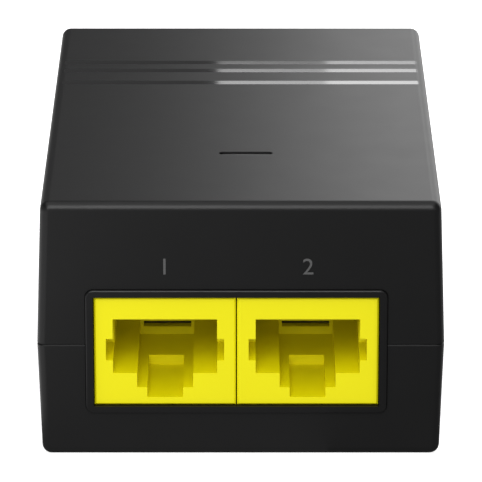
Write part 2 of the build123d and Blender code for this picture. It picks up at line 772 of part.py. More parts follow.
with BuildPart() as transformer_bobbin:
    spool_base = window_bottom + bobbin_gap
    spool_height = window_height - 2 * bobbin_gap
    with Locations((*transformer_at, spool_base)):
        Box(2 * spool_half, 2 * spool_half, spool_height, align=standing)
        Box(2 * flange_half, bobbin_depth, bobbin_wall, align=standing)
    with Locations((*transformer_at, spool_base + spool_height)):
        Box(2 * flange_half, 2 * flange_half, bobbin_wall, align=hanging)
    rail_depth = (bobbin_depth - core_size[1]) / 2 - bobbin_gap
    rail_y = bobbin_depth / 2 - rail_depth / 2
    for side in (-1, 1):
        with Locations((transformer_at[0], transformer_at[1] + side * rail_y, board_top)):
            Box(core_size[0], rail_depth, spool_base + bobbin_wall - board_top, align=standing)
    with Locations((*transformer_at, spool_base)):
        bore = core_leg + 2 * bobbin_gap
        Box(bore, bore, spool_height, align=standing, mode=Mode.SUBTRACT)
    pin_offsets = [i - (bobbin_pins_per_side - 1) / 2 for i in range(bobbin_pins_per_side)]
    for step in pin_offsets:
        pin_at = (transformer_at[0] + step * bobbin_pin_pitch, transformer_at[1])
        add_leads(pair_along(Axis.Y, pin_at, 2 * rail_y))
transformer_bobbin.part.label = "transformer_bobbin"
export_step(transformer_bobbin.part, "parts/transformer_bobbin.step")

with BuildPart() as transformer_winding:
    winding_half = spool_half + winding_thickness
    winding_base = spool_base + bobbin_wall + winding_gap
    with BuildSketch(Plane.XY.offset(winding_base)):
        with Locations(transformer_at):
            RectangleRounded(2 * winding_half, 2 * winding_half, winding_thickness)
            Rectangle(
                2 * (spool_half + winding_gap),
                2 * (spool_half + winding_gap),
                mode=Mode.SUBTRACT,
            )
    extrude(amount=spool_height - 2 * (bobbin_wall + winding_gap))
transformer_winding.part.label = "transformer_winding"
export_step(transformer_winding.part, "parts/transformer_winding.step")

# ---- switching transistor, flat against its cooling plate
with BuildPart() as heat_sink:
    with Locations((sink_x + sink_size[0] / 2, transistor_at_y, board_top)):
        Box(*sink_size, align=standing)
    chamfer(heat_sink.edges().filter_by(Axis.X), moulded_edge)
    add_leads(
        pair_along(Axis.Y, (sink_x + sink_size[0] / 2, transistor_at_y), sink_peg_pitch),
        radius=sink_size[0] / 2,
        start=sink_size[0],
    )
heat_sink.part.label = "heat_sink"
export_step(heat_sink.part, "parts/heat_sink.step")

with BuildPart() as switching_transistor:
    tab_x = sink_x + sink_size[0]
    with Locations((tab_x + transistor_tab[0] / 2, transistor_at_y, board_top + transistor_lift)):
        Box(transistor_tab[0], transistor_size[1], transistor_tab[1], align=standing)
    with Locations((tab_x + transistor_size[0] / 2, transistor_at_y, board_top + transistor_lift)):
        Box(*transistor_size, align=standing)
    add_leads(
        [(tab_x + transistor_lead_x, transistor_at_y + i * transistor_pitch) for i in (-1, 0, 1)],
        start=transistor_lift,
    )
switching_transistor.part.label = "switching_transistor"
export_step(switching_transistor.part, "parts/switching_transistor.step")

# ---- output side of the supply
with BuildPart() as output_diode:
    add_box(diode_at, diode_size)
    chamfer(output_diode.faces().sort_by(Axis.Z)[-1].edges(), moulded_edge)
output_diode.part.label = "output_diode"
export_step(output_diode.part, "parts/output_diode.step")

with BuildPart() as output_capacitors:
    with Locations(*[(x, y, board_top) for x, y in output_caps_at]):
        Cylinder(output_cap_radius, output_cap_height, align=standing)
    fillet(output_capacitors.faces().sort_by(Axis.Z)[-2:].edges(), rounded_edge)
    for at in output_caps_at:
        add_leads(pair_along(Axis.X, at, small_can_pitch))
output_capacitors.part.label = "output_capacitors"
export_step(output_capacitors.part, "parts/output_capacitors.step")

with BuildPart() as output_choke:
    with Locations((*drum_at, board_top)):
        Cylinder(drum_radius, drum_height, align=standing)
    fillet(output_choke.faces().sort_by(Axis.Z)[-1].edges(), rounded_edge)
    add_leads(pair_along(Axis.X, drum_at, drum_pitch))
output_choke.part.label = "output_choke"
export_step(output_choke.part, "parts/output_choke.step")

with BuildPart() as optocoupler:
    add_box(optocoupler_at, optocoupler_size)
    chamfer(optocoupler.faces().sort_by(Axis.Z)[-1].edges(), moulded_edge)
    add_leads(four_corners(optocoupler_at, optocoupler_pitch))
optocoupler.part.label = "optocoupler"
export_step(optocoupler.part, "parts/optocoupler.step")

with BuildPart() as y_capacitor:
    disc_z = board_top + disc_lift + y_capacitor_radius
    disc_front = y_capacitor_at[1] - y_capacitor_thickness / 2
    with BuildSketch(front_plane(disc_front, y_capacitor_at[0], disc_z)):
        Circle(y_capacitor_radius)
    extrude(amount=-y_capacitor_thickness)
    fillet(y_capacitor.edges(), y_capacitor_thickness / 4)
    y_leads = pair_along(Axis.X, y_capacitor_at, radial_pitch)
    add_leads(y_leads, start=disc_lift + y_capacitor_radius)
y_capacitor.part.label = "y_capacitor"
export_step(y_capacitor.part, "parts/y_capacitor.step")

with BuildPart() as lan_magnetics:
    add_box(magnetics_at, magnetics_size)
    chamfer(lan_magnetics.faces().sort_by(Axis.Z)[-1].edges(), moulded_edge)
lan_magnetics.part.label = "lan_magnetics"
export_step(lan_magnetics.part, "parts/lan_magnetics.step")

with BuildPart() as poe_controller_ic:
    add_box(controller_at, controller_size)
    chamfer(poe_controller_ic.faces().sort_by(Axis.Z)[-1].edges(), moulded_edge)
poe_controller_ic.part.label = "poe_controller_ic"
export_step(poe_controller_ic.part, "parts/poe_controller_ic.step")

# ---- indicator
with BuildPart() as status_led:
    add_box((lens_x, stem_y), led_size)
    add_box((lens_x, stem_y), led_lens, lift=led_size[2])
status_led.part.label = "status_led"
export_step(status_led.part, "parts/status_led.step")

with BuildPart() as light_pipe:
    with BuildSketch(Plane.XY.offset(ceiling)):
        with Locations((lens_x, lens_y)):
            SlotOverall(lens_length, lens_width)
    extrude(amount=wall - lens_sunk)
    with Locations((lens_x, flange_y, ceiling)):
        Box(pipe_flange_width, flange_back - flange_front, pipe_flange_thickness, align=hanging)
    stem_bottom = board_top + led_size[2] + led_lens[2] + led_gap
    with Locations((lens_x, stem_y, stem_bottom)):
        Box(*pipe_stem, ceiling - pipe_flange_thickness - stem_bottom, align=standing)
    with Locations(*[(x, y, ceiling) for x, y in stakes]):
        Cylinder(
            stake_radius + stake_clearance,
            pipe_flange_thickness,
            align=hanging,
            mode=Mode.SUBTRACT,
        )
light_pipe.part.label = "light_pipe"
export_step(light_pipe.part, "parts/light_pipe.step")

# ---- circuit board, with a hole for each lead and a notch for each post
with BuildPart() as circuit_board:
    with BuildSketch(Plane.XY.offset(board_bottom)):
        with Locations((0, (board_front + board_back) / 2)):
            Rectangle(board_width, board_back - board_front)
        with Locations(*posts):
            Circle(post_radius + post_board_gap, mode=Mode.SUBTRACT)
        with Locations(*board_screws_at):
            Circle(board_screw_radius + lead_clearance, mode=Mode.SUBTRACT)
        for x, y, radius in lead_holes:
            with Locations((x, y)):
                Circle(radius, mode=Mode.SUBTRACT)
    extrude(amount=board_thickness)
circuit_board.part.label = "circuit_board"
export_step(circuit_board.part, "parts/circuit_board.step")

# ---- sheet on the floor, cut away round the posts
with BuildPart() as insulating_sheet:
    with BuildSketch(Plane.XY.offset(wall)):
        Rectangle(board_width - 2 * sheet_gap, cavity_length - 2 * sheet_gap)
        with Locations(*posts):
            Circle(shoulder_radius + sheet_gap, mode=Mode.SUBTRACT)
        with Locations(*board_screws_at):
            Circle(board_boss_radius + sheet_gap, mode=Mode.SUBTRACT)
    extrude(amount=sheet_thickness)
insulating_sheet.part.label = "insulating_sheet"
export_step(insulating_sheet.part, "parts/insulating_sheet.step")

# ---- blank label, sunk in the base
with BuildPart() as underside_label:
    with BuildSketch(Plane.XY.offset(label_recess - label_thickness)):
        RectangleRounded(*label_size, label_radius)
    extrude(amount=label_thickness)
underside_label.part.label = "underside_label"
export_step(underside_label.part, "parts/underside_label.step")
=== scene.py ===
import bpy
import math
from mathutils import Matrix, Vector


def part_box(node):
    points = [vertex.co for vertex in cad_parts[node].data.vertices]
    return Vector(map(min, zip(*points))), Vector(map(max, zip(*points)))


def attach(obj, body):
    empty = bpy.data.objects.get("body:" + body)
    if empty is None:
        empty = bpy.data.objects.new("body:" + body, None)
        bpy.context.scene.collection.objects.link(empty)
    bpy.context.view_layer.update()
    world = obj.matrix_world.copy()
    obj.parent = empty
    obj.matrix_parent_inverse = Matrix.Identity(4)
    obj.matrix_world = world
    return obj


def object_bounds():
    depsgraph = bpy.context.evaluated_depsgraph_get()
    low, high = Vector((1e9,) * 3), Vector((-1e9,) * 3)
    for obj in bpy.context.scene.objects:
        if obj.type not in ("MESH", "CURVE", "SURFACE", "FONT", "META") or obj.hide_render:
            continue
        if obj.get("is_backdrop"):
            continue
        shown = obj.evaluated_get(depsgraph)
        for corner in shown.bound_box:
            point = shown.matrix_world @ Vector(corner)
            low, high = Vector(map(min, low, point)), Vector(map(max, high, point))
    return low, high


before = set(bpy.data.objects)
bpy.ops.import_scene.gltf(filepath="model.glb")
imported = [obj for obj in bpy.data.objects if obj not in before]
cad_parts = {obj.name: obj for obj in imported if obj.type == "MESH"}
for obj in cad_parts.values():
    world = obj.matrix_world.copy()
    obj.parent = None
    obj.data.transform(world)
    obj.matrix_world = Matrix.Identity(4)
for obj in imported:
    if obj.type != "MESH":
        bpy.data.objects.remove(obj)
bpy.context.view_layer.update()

mm = 0.001
caseLow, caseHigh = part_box("upper_shell")
frontFace = caseLow[1]
topFace = caseHigh[2]
print("frame loaded:", len(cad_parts), "nodes")


# camera, looking down at the two jacks
cameraValues = {
    "elevation": 19.25,     # degrees
    "distance": 0.505,      # of the front top edge, along the line of sight
    "rise": 0.00428,        # of that edge above the middle of the view
    "aside": 0.00003,       # of the camera to the right of the case's middle
    "lens": 334.4,          # mm, on a sensor this wide
    "sensor": 36.0,
    "reach": 20.0,          # of the view, in metres
}


def makeCamera(values):
    tilt = math.radians(values["elevation"])
    forward = Vector((0, math.cos(tilt), -math.sin(tilt)))
    up = Vector((0, math.sin(tilt), math.cos(tilt)))
    edge = Vector((values["aside"], frontFace, topFace))
    data = bpy.data.cameras.new("camera")
    data.lens = values["lens"]
    data.sensor_width = values["sensor"]
    data.clip_end = values["reach"]
    camera = bpy.data.objects.new("camera", data)
    camera.location = edge - forward * values["distance"] - up * values["rise"]
    camera.rotation_euler = forward.to_track_quat("-Z", "Y").to_euler()
    bpy.context.collection.objects.link(camera)
    bpy.context.scene.camera = camera


makeCamera(cameraValues)
print("camera placed")


# helpers for materials
def toLinear(hexColour):
    channels = [int(hexColour[i:i + 2], 16) / 255 for i in (1, 3, 5)]
    return [c / 12.92 if c <= 0.04045 else ((c + 0.055) / 1.055) ** 2.4 for c in channels] + [1.0]


def addNode(tree, kind, settings=None, inputs=None):
    # an input, by its name or number, takes a value or the socket that feeds it
    node = tree.nodes.new(kind)
    for name, value in (settings or {}).items():
        setattr(node, name, value)
    for name, value in (inputs or {}).items():
        if isinstance(value, bpy.types.NodeSocket):
            tree.links.new(value, node.inputs[name])
        else:
            node.inputs[name].default_value = value
    return node


def startMaterial(name):
    material = bpy.data.materials.new(name)
    material.use_nodes = True
    tree = material.node_tree
    tree.nodes.clear()
    coords = addNode(tree, "ShaderNodeTexCoord").outputs["Object"]
    return material, tree, coords


def endMaterial(tree, shaderInputs):
    shader = addNode(tree, "ShaderNodeBsdfPrincipled", inputs=shaderInputs)
    addNode(tree, "ShaderNodeOutputMaterial", inputs={"Surface": shader.outputs["BSDF"]})


def patchyColour(tree, coords, colours, patchMm):
    # two near colours in soft patches, as pigment and handling leave them
    patches = addNode(tree, "ShaderNodeTexNoise", inputs={
        "Vector": coords, "Scale": 1 / (patchMm * mm), "Detail": 3.0})
    blend = addNode(tree, "ShaderNodeMix", {"data_type": "RGBA"}, {
        0: patches.outputs["Fac"], 6: toLinear(colours[0]), 7: toLinear(colours[1])})
    return blend.outputs[2]


noiseRange = (0.3, 0.7)     # where nearly all of a noise lies
sheenShare = 0.5            # size of a patch of gloss, beside a patch of colour
bandScale = 1 / 20          # a band then repeats 2 pi times its stated size: coarser, to show


def unevenGloss(tree, pattern, roughness):
    # gloss that comes and goes with a pattern, between two roughness values
    gloss = addNode(tree, "ShaderNodeMapRange", inputs={
        "Value": pattern, "From Min": noiseRange[0], "From Max": noiseRange[1],
        "To Min": roughness[0], "To Max": roughness[1]})
    return gloss.outputs["Result"]


# a moulded, dipped or coated surface: patchy colour, uneven gloss and a fine grain, which is
# drawn at 0.1 mm and more, because the real one of 0.02 to 0.05 mm would not show
def makeMoulded(name, values):
    material, tree, coords = startMaterial(name)
    grain = addNode(tree, "ShaderNodeTexNoise", inputs={
        "Vector": coords, "Scale": 1 / (values["grainMm"] * mm), "Detail": 2.0})
    sheen = addNode(tree, "ShaderNodeTexNoise", inputs={
        "Vector": coords, "Scale": 1 / (values["patchMm"] * sheenShare * mm), "Detail": 2.0})
    bump = addNode(tree, "ShaderNodeBump", inputs={
        "Height": grain.outputs["Fac"], "Distance": values["depthMm"] * mm, "Strength": 1.0})
    endMaterial(tree, {
        "Base Color": patchyColour(tree, coords, values["colours"], values["patchMm"]),
        "Roughness": unevenGloss(tree, sheen.outputs["Fac"], values["roughness"]),
        "Normal": bump.outputs["Normal"],
        "IOR": values["ior"],
        "Metallic": 0.0,
    })
    return material


# drawn, plated or rolled metal: fine lines along one way
def makeDrawnMetal(name, values):
    material, tree, coords = startMaterial(name)
    stretched = addNode(tree, "ShaderNodeMapping", inputs={
        "Vector": coords, "Scale": values["lineScale"]})
    lines = addNode(tree, "ShaderNodeTexNoise", inputs={
        "Vector": stretched.outputs["Vector"], "Scale": 1 / (values["lineMm"] * mm), "Detail": 3.0})
    bump = addNode(tree, "ShaderNodeBump", inputs={
        "Height": lines.outputs["Fac"], "Distance": values["depthMm"] * mm, "Strength": 1.0})
    endMaterial(tree, {
        "Base Color": patchyColour(tree, coords, values["colours"], values["patchMm"]),
        "Roughness": unevenGloss(tree, lines.outputs["Fac"], values["roughness"]),
        "Normal": bump.outputs["Normal"],
        "Metallic": 1.0,
    })
    return material


# wire or tape wound round a core: even bands
def makeWound(name, values):
    material, tree, coords = startMaterial(name)
    turns = addNode(tree, "ShaderNodeTexWave", {
        "wave_type": "BANDS", "bands_direction": values["along"], "wave_profile": "SIN"}, {
        "Vector": coords, "Scale": bandScale / (values["turnMm"] * mm), "Distortion": values["waver"]})
    bump = addNode(tree, "ShaderNodeBump", inputs={
        "Height": turns.outputs["Fac"], "Distance": values["depthMm"] * mm, "Strength": 1.0})
    endMaterial(tree, {
        "Base Color": patchyColour(tree, coords, values["colours"], values["patchMm"]),
        "Roughness": unevenGloss(tree, turns.outputs["Fac"], values["roughness"]),
        "Normal": bump.outputs["Normal"],
        "Metallic": values["metallic"],
    })
    return material


# solder-masked glass laminate: a cloth weave under a green lacquer
def makeLaminate(name, values):
    material, tree, coords = startMaterial(name)
    weaves = []
    for direction in ("X", "Y"):
        threads = addNode(tree, "ShaderNodeTexWave", {
            "wave_type": "BANDS", "bands_direction": direction}, {
            "Vector": coords, "Scale": bandScale / (values["threadMm"] * mm), "Distortion": values["waver"]})
        weaves.append(threads.outputs["Fac"])
    cloth = addNode(tree, "ShaderNodeMath", {"operation": "MULTIPLY"}, dict(enumerate(weaves)))
    bump = addNode(tree, "ShaderNodeBump", inputs={
        "Height": cloth.outputs["Value"], "Distance": values["depthMm"] * mm, "Strength": 1.0})
    endMaterial(tree, {
        "Base Color": patchyColour(tree, coords, values["colours"], values["patchMm"]),
        "Roughness": unevenGloss(tree, cloth.outputs["Value"], values["roughness"]),
        "Normal": bump.outputs["Normal"],
        "IOR": values["ior"],
    })
    return material


# the case and what shows of it
stripeValues = {
    "setbacks": (54.3, 50.9, 45.9),     # mm behind the front face
    "width": 1.4,
    "edgeGap": 1.4,         # from the side of the top to the stripes' ends
    "skin": 0.1,            # below the top face that still counts as the top
    "roughness": 0.07,
}


# black ABS with plain stripes across the top that the mould has polished
def makeStriped(name, values, stripes):
    material, tree, coords = startMaterial(name)
    place = addNode(tree, "ShaderNodeSeparateXYZ", inputs={0: coords}).outputs
    aside = addNode(tree, "ShaderNodeMath", {"operation": "ABSOLUTE"}, {0: place["X"]})
    ends = caseHigh[0] - stripes["edgeGap"] * mm
    within = addNode(tree, "ShaderNodeMath", {"operation": "LESS_THAN"}, {
        0: aside.outputs[0], 1: ends}).outputs[0]
    onTop = addNode(tree, "ShaderNodeMath", {"operation": "GREATER_THAN"}, {
        0: place["Z"], 1: topFace - stripes["skin"] * mm}).outputs[0]
    bands = 0.0
    for setback in stripes["setbacks"]:
        band = addNode(tree, "ShaderNodeMath", {"operation": "COMPARE"}, {
            0: place["Y"], 1: frontFace + setback * mm, 2: stripes["width"] * mm / 2})
        bands = addNode(tree, "ShaderNodeMath", {"operation": "ADD"}, {
            0: band.outputs[0], 1: bands}).outputs[0]
    for limit in (within, onTop):
        bands = addNode(tree, "ShaderNodeMath", {"operation": "MULTIPLY"}, {
            0: bands, 1: limit}).outputs[0]
    grain = addNode(tree, "ShaderNodeTexNoise", inputs={
        "Vector": coords, "Scale": 1 / (values["grainMm"] * mm), "Detail": 2.0})
    sheen = addNode(tree, "ShaderNodeTexNoise", inputs={
        "Vector": coords, "Scale": 1 / (values["patchMm"] * sheenShare * mm), "Detail": 2.0})
    rough = addNode(tree, "ShaderNodeMix", {"data_type": "FLOAT"}, {
        0: bands, 2: unevenGloss(tree, sheen.outputs["Fac"], values["roughness"]),
        3: stripes["roughness"]})
    flat = addNode(tree, "ShaderNodeMath", {"operation": "SUBTRACT"}, {0: 1.0, 1: bands})
    bump = addNode(tree, "ShaderNodeBump", inputs={
        "Height": grain.outputs["Fac"], "Distance": values["depthMm"] * mm,
        "Strength": flat.outputs[0]})
    endMaterial(tree, {
        "Base Color": patchyColour(tree, coords, values["colours"], values["patchMm"]),
        "Roughness": rough.outputs[0],
        "Normal": bump.outputs["Normal"],
        "IOR": values["ior"],
    })
    return material


# black ABS from a spark-eroded mould: a fine satin grain that spreads the light
satinValues = {
    "colours": ("#141414", "#161617"), "patchMm": 9.0, "roughness": (0.385, 0.40),
    "grainMm": 0.30, "depthMm": 0.0012, "ior": 1.50}
satinAbs = makeMoulded("satinBlackAbs", satinValues)
stripedAbs = makeStriped("satinBlackAbsWithPolishedStripes", satinValues, stripeValues)
# the frame round the jacks, from a smoother mould than the case
trimAbs = makeMoulded("smoothBlackAbs", {
    "colours": ("#131313", "#151516"), "patchMm": 6.0, "roughness": (0.32, 0.36),
    "grainMm": 0.25, "depthMm": 0.0008, "ior": 1.50})
# yellow PBT from a polished mould: strong colour, half gloss, faint flow marks
yellowPbt = makeMoulded("polishedYellowPbt", {
    "colours": ("#fcf300", "#f8ee00"), "patchMm": 5.0, "roughness": (0.44, 0.52),
    "grainMm": 0.40, "depthMm": 0.0012, "ior": 1.38})
# black PBT of the inserts, the inlet and the spool: dull, slightly glassy fibre grain
blackPbt = makeMoulded("mouldedBlackPbt", {
    "colours": ("#1a1a1a", "#202020"), "patchMm": 4.0, "roughness": (0.42, 0.52),
    "grainMm": 0.22, "depthMm": 0.0020, "ior": 1.50})
# smoked polycarbonate, polished: nearly black until the indicator is lit
smokedLens = makeMoulded("polishedSmokedPolycarbonate", {
    "colours": ("#050505", "#080808"), "patchMm": 3.0, "roughness": (0.16, 0.20),
    "grainMm": 0.60, "depthMm": 0.0004, "ior": 1.50})
# grey pad-printed ink: matt, with the slightly uneven cover of a silicone pad
padInk = makeMoulded("padPrintedGreyInk", {
    "colours": ("#565656", "#5e5e5e"), "patchMm": 0.8, "roughness": (0.50, 0.62),
    "grainMm": 0.20, "depthMm": 0.0008, "ior": 1.45})
# blank polyester label: silver grey film with a matt face
labelFilm = makeMoulded("matteSilverPolyester", {
    "colours": ("#9a9a9a", "#a4a4a4"), "patchMm": 12.0, "roughness": (0.38, 0.48),
    "grainMm": 0.25, "depthMm": 0.0006, "ior": 1.50})
# zinc-plated steel: cool grey with turning marks
zincSteel = makeDrawnMetal("zincPlatedSteel", {
    "colours": ("#9a9b9d", "#aeb0b2"), "patchMm": 1.5, "roughness": (0.28, 0.40),
    "lineMm": 0.25, "lineScale": (1, 1, 6), "depthMm": 0.0015})
# nickel-plated brass pins: bright and slightly warm
nickelBrass = makeDrawnMetal("nickelPlatedBrass", {
    "colours": ("#c9c5bc", "#d6d2c9"), "patchMm": 3.0, "roughness": (0.14, 0.22),
    "lineMm": 0.20, "lineScale": (5, 1, 5), "depthMm": 0.0006})
# gold flashed on phosphor bronze wire: bright, drawn along the wire
goldWire = makeDrawnMetal("goldPlatedBronzeWire", {
    "colours": ("#d9b45a", "#e6c571"), "patchMm": 2.0, "roughness": (0.16, 0.26),
    "lineMm": 0.10, "lineScale": (6, 1, 1), "depthMm": 0.0005})
print("case materials made")

# inside the case
# glass laminate under a green mask: a half-gloss lacquer with the cloth just telling through
greenLaminate = makeLaminate("solderMaskedGlassLaminate", {
    "colours": ("#0c4426", "#12512e"), "patchMm": 7.0, "roughness": (0.30, 0.40),
    "threadMm": 0.45, "waver": 0.2, "depthMm": 0.0020, "ior": 1.50})
# thin polyester film: milky and half gloss
milkyFilm = makeMoulded("milkyPolyesterFilm", {
    "colours": ("#d8d4c4", "#e2dece"), "patchMm": 10.0, "roughness": (0.32, 0.44),
    "grainMm": 0.50, "depthMm": 0.0010, "ior": 1.55})
# grey flame-proof moulding of the fuse
fusePlastic = makeMoulded("mouldedGreyPbt", {
    "colours": ("#2c2e33", "#33363b"), "patchMm": 3.0, "roughness": (0.45, 0.55),
    "grainMm": 0.25, "depthMm": 0.0020, "ior": 1.50})
# epoxy in which a disc was dipped: thick, glossy and slightly wavy
blueDip = makeMoulded("dippedBlueEpoxy", {
    "colours": ("#163f86", "#1b4a99"), "patchMm": 2.5, "roughness": (0.20, 0.32),
    "grainMm": 1.20, "depthMm": 0.0300, "ior": 1.55})
# yellow box of a film capacitor: matt moulding
ochreBox = makeMoulded("mouldedOchrePbt", {
    "colours": ("#b5942e", "#c09f38"), "patchMm": 4.0, "roughness": (0.42, 0.52),
    "grainMm": 0.25, "depthMm": 0.0020, "ior": 1.50})
# ferrite ring in its green powder coat: orange-peel gloss
coatedFerrite = makeMoulded("powderCoatedFerrite", {
    "colours": ("#24503a", "#2b5c43"), "patchMm": 2.0, "roughness": (0.30, 0.42),
    "grainMm": 0.60, "depthMm": 0.0100, "ior": 1.50})
# sintered ferrite: charcoal, ground dull
bareFerrite = makeMoulded("sinteredFerrite", {
    "colours": ("#2c2c2e", "#38383a"), "patchMm": 1.5, "roughness": (0.55, 0.70),
    "grainMm": 0.18, "depthMm": 0.0050, "ior": 1.80})
# enamelled copper wire, wound side by side
enamelledWire = makeWound("enamelledCopperTurns", {
    "colours": ("#a4502a", "#b75f33"), "roughness": (0.22, 0.36), "along": "Z",
    "turnMm": 0.70, "waver": 0.4, "patchMm": 2.10, "depthMm": 0.1200, "metallic": 1.0})
# polyester tape over the winding: smooth, with its edges showing as bands
windingTape = makeWound("yellowPolyesterTape", {
    "colours": ("#c9a21a", "#d6b02a"), "roughness": (0.22, 0.34), "along": "Z",
    "turnMm": 3.50, "waver": 0.4, "patchMm": 10.5, "depthMm": 0.0300, "metallic": 0.0})
# black epoxy of chips: fine matt grain from the mould
chipEpoxy = makeMoulded("mouldedChipEpoxy", {
    "colours": ("#191919", "#1e1e1e"), "patchMm": 1.5, "roughness": (0.55, 0.66),
    "grainMm": 0.12, "depthMm": 0.0030, "ior": 1.55})
# sleeve shrunk on a can: glossy film that follows the can
canSleeve = makeMoulded("shrunkBlackSleeve", {
    "colours": ("#16161c", "#1c1c24"), "patchMm": 4.0, "roughness": (0.18, 0.28),
    "grainMm": 1.50, "depthMm": 0.0080, "ior": 1.52})
# rolled aluminium plate: fine lines up the plate
rolledAluminium = makeDrawnMetal("rolledAluminium", {
    "colours": ("#c4c6c8", "#d2d4d6"), "patchMm": 6.0, "roughness": (0.28, 0.42),
    "lineMm": 0.25, "lineScale": (1, 6, 1), "depthMm": 0.0020})
# white moulding of the indicator with its clear dome
ledResin = makeMoulded("mouldedWhiteLedResin", {
    "colours": ("#e6e6dc", "#f0f0e6"), "patchMm": 1.0, "roughness": (0.20, 0.30),
    "grainMm": 0.30, "depthMm": 0.0010, "ior": 1.50})
print("inner materials made")

finishes = {
    stripedAbs: ["upper_shell"],
    satinAbs: ["lower_shell"],
    trimAbs: ["port_bezel"],
    yellowPbt: ["poe_jack_housing", "lan_jack_housing"],
    blackPbt: ["poe_contact_carrier", "lan_contact_carrier", "ac_inlet_housing", "transformer_bobbin"],
    goldWire: ["poe_contact_leads", "lan_contact_leads", "poe_contact_beams", "lan_contact_beams"],
    smokedLens: ["light_pipe"],
    labelFilm: ["underside_label"],
    zincSteel: ["case_screws", "board_screws"],
    nickelBrass: ["ac_inlet_pins"],
    greenLaminate: ["circuit_board"],
    milkyFilm: ["insulating_sheet"],
    fusePlastic: ["mains_fuse"],
    blueDip: ["varistor", "y_capacitor"],
    ochreBox: ["x_capacitor"],
    coatedFerrite: ["emi_choke_core"],
    enamelledWire: ["emi_choke_windings"],
    bareFerrite: ["transformer_core", "output_choke"],
    windingTape: ["transformer_winding"],
    chipEpoxy: ["bridge_rectifier", "switching_transistor", "output_diode", "optocoupler",
                "lan_magnetics", "poe_controller_ic"],
    canSleeve: ["bulk_capacitor", "output_capacitors"],
    rolledAluminium: ["heat_sink"],
    ledResin: ["status_led"],
}
dressed = set()
for material, nodeNames in finishes.items():
    for nodeName in nodeNames:
        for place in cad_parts[nodeName].material_slots:
            place.material = material
        dressed.add(nodeName)
print("nodes without a finish:", sorted(set(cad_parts) - dressed))


# Geometry Nodes
def newTree(name, sizes):
    tree = bpy.data.node_groups.new(name, "GeometryNodeTree")
    tree.interface.new_socket(name="Geometry", in_out="OUTPUT", socket_type="NodeSocketGeometry")
    for label, kind in sizes.items():
        tree.interface.new_socket(name=label, in_out="INPUT", socket_type=kind)
    return tree, addNode(tree, "NodeGroupInput").outputs


def endTree(tree, geometry, material):
    real = addNode(tree, "GeometryNodeRealizeInstances", inputs={"Geometry": geometry})
    painted = addNode(tree, "GeometryNodeSetMaterial", inputs={
        "Geometry": real.outputs["Geometry"], "Material": material})
    addNode(tree, "NodeGroupOutput", inputs={"Geometry": painted.outputs["Geometry"]})


def growPiece(name, tree, values):
    # runs the tree once and keeps only the plain mesh
    carrier = bpy.data.objects.new(name + "Carrier", bpy.data.meshes.new(name + "Carrier"))
    bpy.context.collection.objects.link(carrier)
    modifier = carrier.modifiers.new("grow", "NODES")
    modifier.node_group = tree
    for socket in tree.interface.items_tree:
        if socket.in_out == "INPUT":
            modifier[socket.identifier] = values[socket.name]
    graph = bpy.context.evaluated_depsgraph_get()
    mesh = bpy.data.meshes.new_from_object(carrier.evaluated_get(graph), depsgraph=graph)
    bpy.data.objects.remove(carrier)
    piece = bpy.data.objects.new(name, mesh)
    bpy.context.collection.objects.link(piece)
    return piece


def addBlockRow(tree, sizes):
    # a row of equal blocks, centred on Middle
    gaps = addNode(tree, "ShaderNodeMath", {"operation": "SUBTRACT"}, {0: sizes["Count"], 1: 1.0})
    halfGaps = addNode(tree, "ShaderNodeMath", {"operation": "MULTIPLY"}, {0: gaps.outputs[0], 1: 0.5})
    back = addNode(tree, "ShaderNodeVectorMath", {"operation": "SCALE"}, {
        0: sizes["Step"], "Scale": halfGaps.outputs[0]})
    start = addNode(tree, "ShaderNodeVectorMath", {"operation": "SUBTRACT"}, {
        0: sizes["Middle"], 1: back.outputs[0]})
    line = addNode(tree, "GeometryNodeMeshLine", {"mode": "OFFSET"}, {
        "Count": sizes["Count"], "Start Location": start.outputs[0], "Offset": sizes["Step"]})
    block = addNode(tree, "GeometryNodeMeshCube", inputs={"Size": sizes["Block"]})
    row = addNode(tree, "GeometryNodeInstanceOnPoints", inputs={
        "Points": line.outputs["Mesh"], "Instance": block.outputs["Mesh"]})
    return row.outputs["Instances"]


rowSizes = {"Count": "NodeSocketInt", "Step": "NodeSocketVector",
            "Middle": "NodeSocketVector", "Block": "NodeSocketVector"}

# tinned legs along both sides of the two surface-mounted chips
legValues = {
    "lan_magnetics": {"count": 8, "pitch": 1.27, "along": 0},
    "poe_controller_ic": {"count": 4, "pitch": 1.0, "along": 0},
}
legBlock = {"width": 0.4, "reach": 0.7, "thick": 0.2}     # mm
legTree, legSizes = newTree("chipLegs", rowSizes)
endTree(legTree, addBlockRow(legTree, legSizes), nickelBrass)
for chip, values in legValues.items():
    low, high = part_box(chip)
    for side, sign, edge in (("front", -1, low[1]), ("back", 1, high[1])):
        legs = growPiece(chip + "_legs_" + side, legTree, {
            "Count": values["count"],
            "Step": (values["pitch"] * mm, 0, 0),
            "Middle": ((low[0] + high[0]) / 2, edge + sign * legBlock["reach"] * mm / 2,
                       low[2] + legBlock["thick"] * mm / 2),
            "Block": (legBlock["width"] * mm, legBlock["reach"] * mm, legBlock["thick"] * mm),
        })
        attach(legs, "case")
print("chip legs placed")


# port numbers, printed above the jacks
numeralValues = {
    "height": 1.9,          # mm
    "film": 0.02,
    "rise": 2.0,            # of their middle above the frame round the jacks
    "marks": {"1": "poe_jack_housing", "2": "lan_jack_housing"},
}


